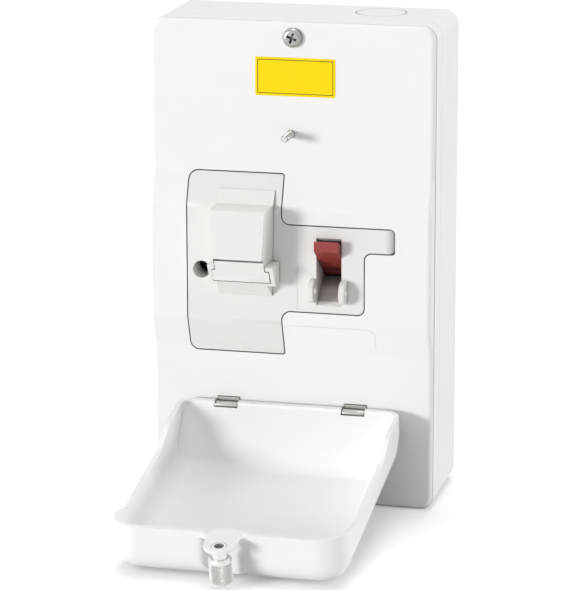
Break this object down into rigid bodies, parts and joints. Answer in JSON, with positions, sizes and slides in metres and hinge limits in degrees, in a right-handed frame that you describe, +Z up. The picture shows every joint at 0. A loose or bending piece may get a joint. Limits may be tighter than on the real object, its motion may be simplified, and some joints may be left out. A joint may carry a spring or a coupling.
{
  "type": "switch fuse unit",
  "caption": "Wall enclosure with a pull-out fuse carrier and a rotary switch dolly set in a raised band, covered by a dished drop-down door with a captive thumb nut.",
  "frame": {"origin": "centre of the four wall-fixing holes, on the plane of the back", "axes": "+Z up, front faces -Y, +X to the right seen from the front"},
  "size_m": [0.146, 0.2054, 0.247],
  "materials": {
    "box_white": "smooth moulded, soft gloss",
    "cover_white": "smooth moulded, soft gloss",
    "door_white": "smooth moulded, soft gloss",
    "mechanism_grey": "fine matt moulding",
    "carrier_grey": "fine matt moulding",
    "flap_grey": "fine matt moulding",
    "housing_grey": "moulded",
    "base_black": "moulded",
    "dolly_red": "moulded",
    "plate_yellow": "printed film",
    "plate_white": "printed film",
    "ceramic": "glazed",
    "cap_nickel": "plated",
    "nut_nickel": "plated, knurled",
    "clip_bright": "rolled strip",
    "grub_screw_steel": "plated",
    "terminal_brass": "machined",
    "contact_copper": "tinned copper strip",
    "cover_screw_zinc": "zinc plated",
    "stud_steel": "zinc plated",
    "fixings_steel": "plated"
  },
  "bodies": {
    "enclosure": {"back_box": "box_white", "base_screw_1": "fixings_steel", "base_screw_2": "fixings_steel", "base_screw_3": "fixings_steel", "base_screw_4": "fixings_steel", "cover_screw_bottom": "cover_screw_zinc", "cover_screw_top": "cover_screw_zinc", "door_stud": "stud_steel", "earth_screw_1": "grub_screw_steel", "earth_screw_2": "grub_screw_steel", "earth_terminal": "terminal_brass", "front_cover": "cover_white", "fuse_jaw_bottom": "contact_copper", "fuse_jaw_top": "contact_copper", "fuse_socket": "housing_grey", "hinge_clip_left": "clip_bright", "hinge_clip_right": "clip_bright", "label_white": "plate_white", "label_yellow": "plate_yellow", "link_fuse_top": "contact_copper", "link_line_top": "contact_copper", "link_neutral_bottom": "contact_copper", "link_neutral_top": "contact_copper", "link_switch_to_fuse": "contact_copper", "mechanism_base": "base_black", "mechanism_front": "mechanism_grey", "pillar_screws": "fixings_steel", "pillars": "fixings_steel", "stud_lock_nut": "fixings_steel", "switch_housing": "housing_grey", "switch_jaw_line_bottom": "contact_copper", "switch_jaw_line_top": "contact_copper", "switch_jaw_neutral_bottom": "contact_copper", "switch_jaw_neutral_top": "contact_copper", "terminal_line_in": "terminal_brass", "terminal_line_out": "terminal_brass", "terminal_neutral_in": "terminal_brass", "terminal_neutral_out": "terminal_brass", "terminal_screw_line_in": "grub_screw_steel", "terminal_screw_line_out": "grub_screw_steel", "terminal_screw_neutral_in": "grub_screw_steel", "terminal_screw_neutral_out": "grub_screw_steel"},
    "door": {"door": "door_white", "hinge_pin_left": "fixings_steel", "hinge_pin_right": "fixings_steel"},
    "nut": {"thumb_nut": "nut_nickel"},
    "carrier": {"fuse_carrier": "carrier_grey", "flap_pin": "fixings_steel", "fuse_barrel": "ceramic", "fuse_cap_top": "cap_nickel", "fuse_cap_bottom": "cap_nickel", "carrier_contact_top": "contact_copper", "carrier_contact_bottom": "contact_copper"},
    "flap": {"carrier_flap": "flap_grey"},
    "switch": {"switch_dolly": "dolly_red", "dolly_shaft": "fixings_steel", "rotor_blade_line": "contact_copper", "rotor_blade_neutral": "contact_copper"}
  },
  "joints": [
    {"name": "door_hinge", "type": "hinge", "parent": "enclosure", "child": "door", "pos_m": [0, -0.06125, -0.07405], "axis": [1, 0, 0], "range_deg": [-101.7, 0]},
    {"name": "thumb_nut_spin", "type": "hinge", "parent": "door", "child": "nut", "pos_m": [0, -0.19822, -0.10967], "axis": [0, 0.2028, -0.9792], "continuous": true},
    {"name": "fuse_carrier_pull", "type": "slide", "parent": "enclosure", "child": "carrier", "axis": [0, -1, 0], "range_m": [0, 0.055]},
    {"name": "carrier_flap_hinge", "type": "hinge", "parent": "carrier", "child": "flap", "pos_m": [-0.022, -0.07327, -0.00379], "axis": [1, 0, 0], "range_deg": [0, 70]},
    {"name": "switch_dolly_pivot", "type": "hinge", "parent": "enclosure", "child": "switch", "pos_m": [0.02075, -0.045, -0.00085], "axis": [1, 0, 0], "range_deg": [0, 59]}
  ]
}
